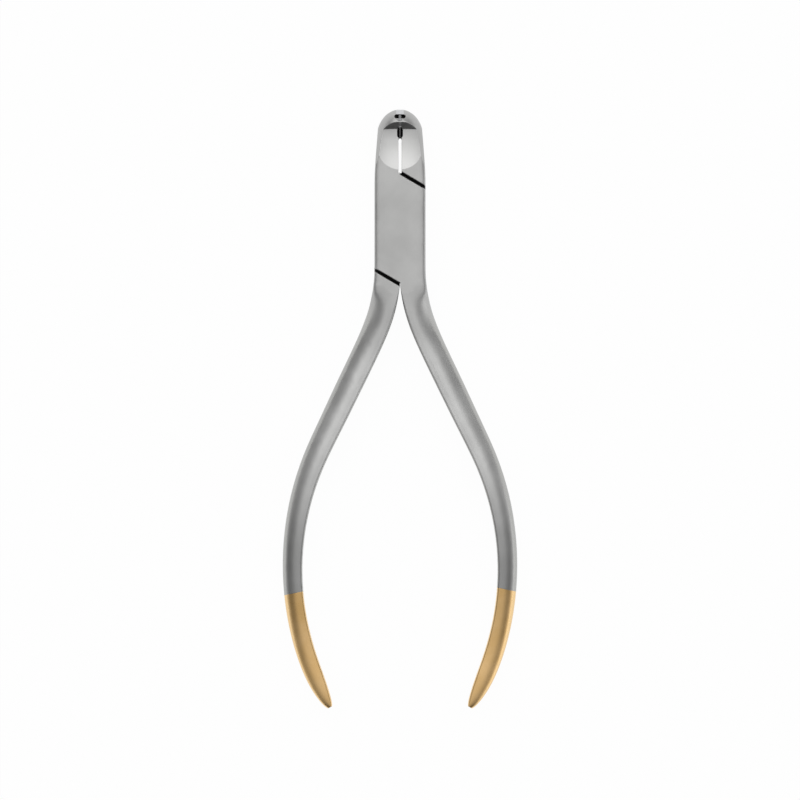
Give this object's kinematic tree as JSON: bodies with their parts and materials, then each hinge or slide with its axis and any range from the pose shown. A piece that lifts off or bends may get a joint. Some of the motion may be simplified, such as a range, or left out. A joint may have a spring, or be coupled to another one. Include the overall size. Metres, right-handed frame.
{
  "type": "orthodontic pliers",
  "caption": "Orthodontic end cutter: scooped bullet nose with a safety hold, flat lap joint, bowed handles with gold-plated ends.",
  "frame": {"origin": "where the pivot axis meets the back face, which the tool lies on", "axes": "+Y along the tool from the handles to the jaws, +Z out of the front face along the pivot, +X to the right seen from the front"},
  "size_m": [0.05, 0.1274, 0.008],
  "materials": {
    "satin_steel": "satin, bead-blasted stainless steel",
    "screw_steel": "fine turned stainless steel",
    "carbide": "ground tungsten carbide",
    "spring_steel": "ground spring steel",
    "gold_plate": "satin gold plating"
  },
  "bodies": {
    "rear_half": {"rear_half": "satin_steel", "right_cutting_insert": "carbide", "right_hold_leaf": "spring_steel", "left_handle_plating": "gold_plate"},
    "front_half": {"front_half": "satin_steel", "pivot_screw": "screw_steel", "left_cutting_insert": "carbide", "left_hold_leaf": "spring_steel", "right_handle_plating": "gold_plate"}
  },
  "joints": [
    {"name": "jaw_hinge", "type": "hinge", "parent": "rear_half", "child": "front_half", "pos_m": [0, 0, 0.004], "axis": [0, 0, 1], "range_deg": [0, 40]}
  ]
}
